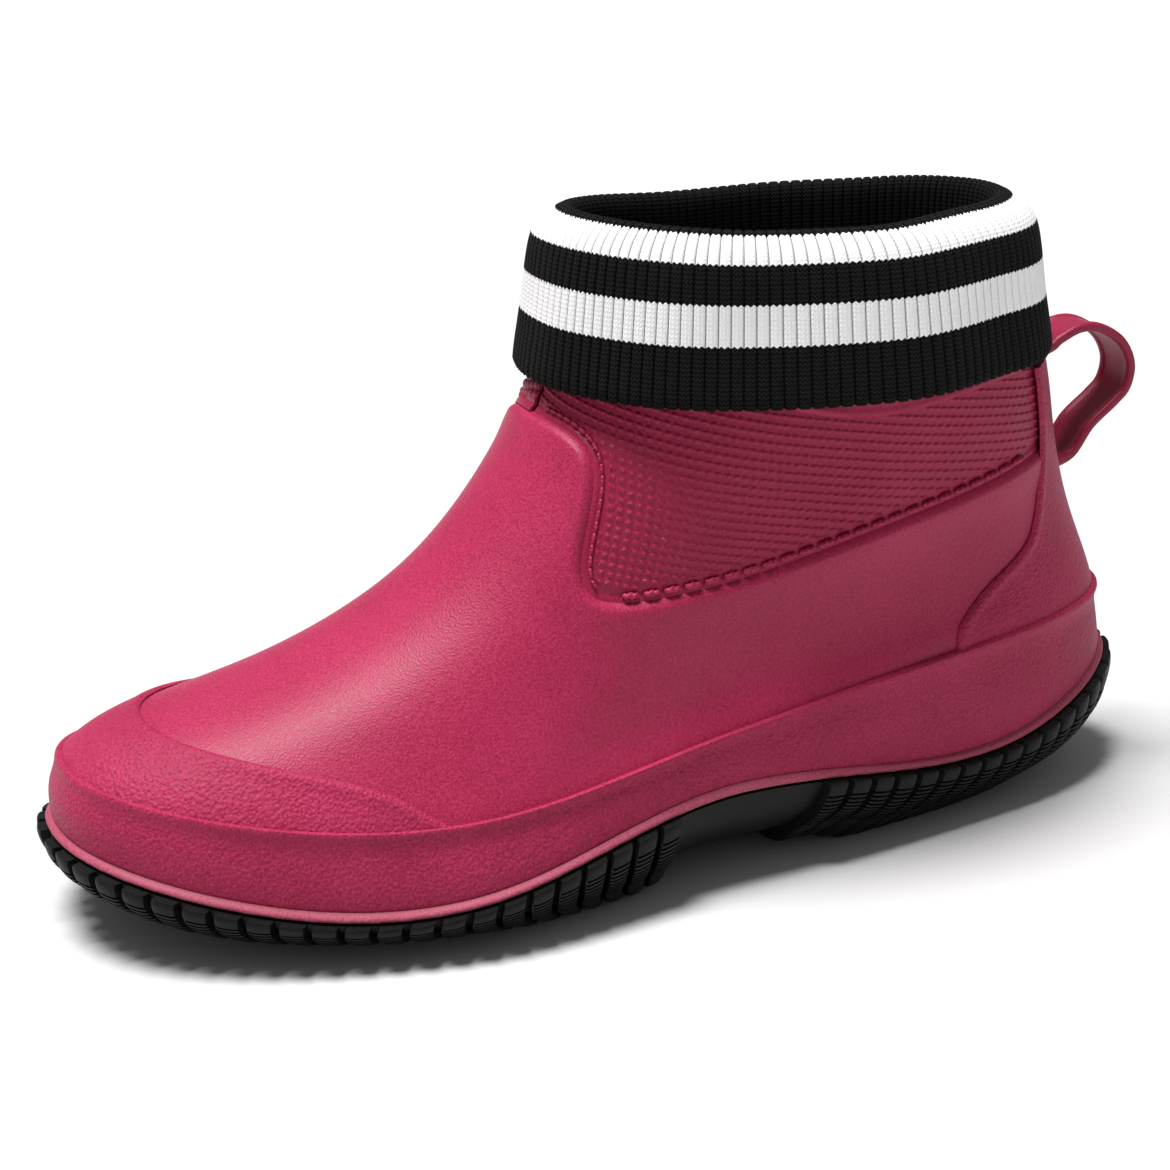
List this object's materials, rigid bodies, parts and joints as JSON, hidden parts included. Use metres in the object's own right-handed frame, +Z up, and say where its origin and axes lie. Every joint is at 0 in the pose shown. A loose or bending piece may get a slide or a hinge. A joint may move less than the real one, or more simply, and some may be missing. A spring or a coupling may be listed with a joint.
{
  "type": "rubber rain boot",
  "caption": "Short left rain boot: moulded pink rubber upper, lugged black outsole, striped turned-down knit cuff and a heel pull loop.",
  "frame": {"origin": "middle of the boot's bounding box, on the ground that the tread stands on", "axes": "+Z up; the heel is towards +Y and the toe towards -Y; +X is the outer side of the left foot"},
  "size_m": [0.1064, 0.281, 0.1533],
  "materials": {
    "pink_rubber": "satin, lightly speckled",
    "base_rubber": "matt, lined inside",
    "grained_rubber": "pebble-grained satin",
    "panel_rubber": "moulded woven texture",
    "collar_rubber": "moulded diagonal ribs",
    "bead_rubber": "soft matt",
    "loop_rubber": "satin",
    "outsole_rubber": "matt black, lightly worn",
    "rib_knit": "ribbed knit, black and white stripes",
    "seam_tape": "woven tape",
    "jersey_lining": "cotton jersey",
    "insole_foam": "closed-cell foam",
    "fibre_board": "cellulose fibre board"
  },
  "bodies": {
    "boot_body": {"vamp_and_quarters": "pink_rubber", "base_shell": "base_rubber", "toe_cap": "grained_rubber", "heel_counter": "grained_rubber", "foxing_band": "grained_rubber", "side_panel_outer": "panel_rubber", "side_panel_inner": "panel_rubber", "collar_band": "collar_rubber", "welt_bead": "bead_rubber", "loop_tab_lower": "loop_rubber", "loop_tab_upper": "loop_rubber", "outsole": "outsole_rubber", "knit_cuff": "rib_knit", "cuff_seam_tape": "seam_tape", "lining": "jersey_lining", "footbed_cover": "jersey_lining", "footbed_foam": "insole_foam", "bottom_filler": "insole_foam", "insole_board": "fibre_board", "toe_puff": "fibre_board", "heel_stiffener": "fibre_board"},
    "pull_loop": {"pull_loop": "loop_rubber"}
  },
  "joints": [
    {"name": "pull_loop_sway", "type": "hinge", "parent": "boot_body", "child": "pull_loop", "pos_m": [0.00249, 0.12269, 0.08075], "axis": [0, -0.2608, 0.9654], "range_deg": [-25, 25], "stiffness_Nm_per_rad": 0.01}
  ]
}
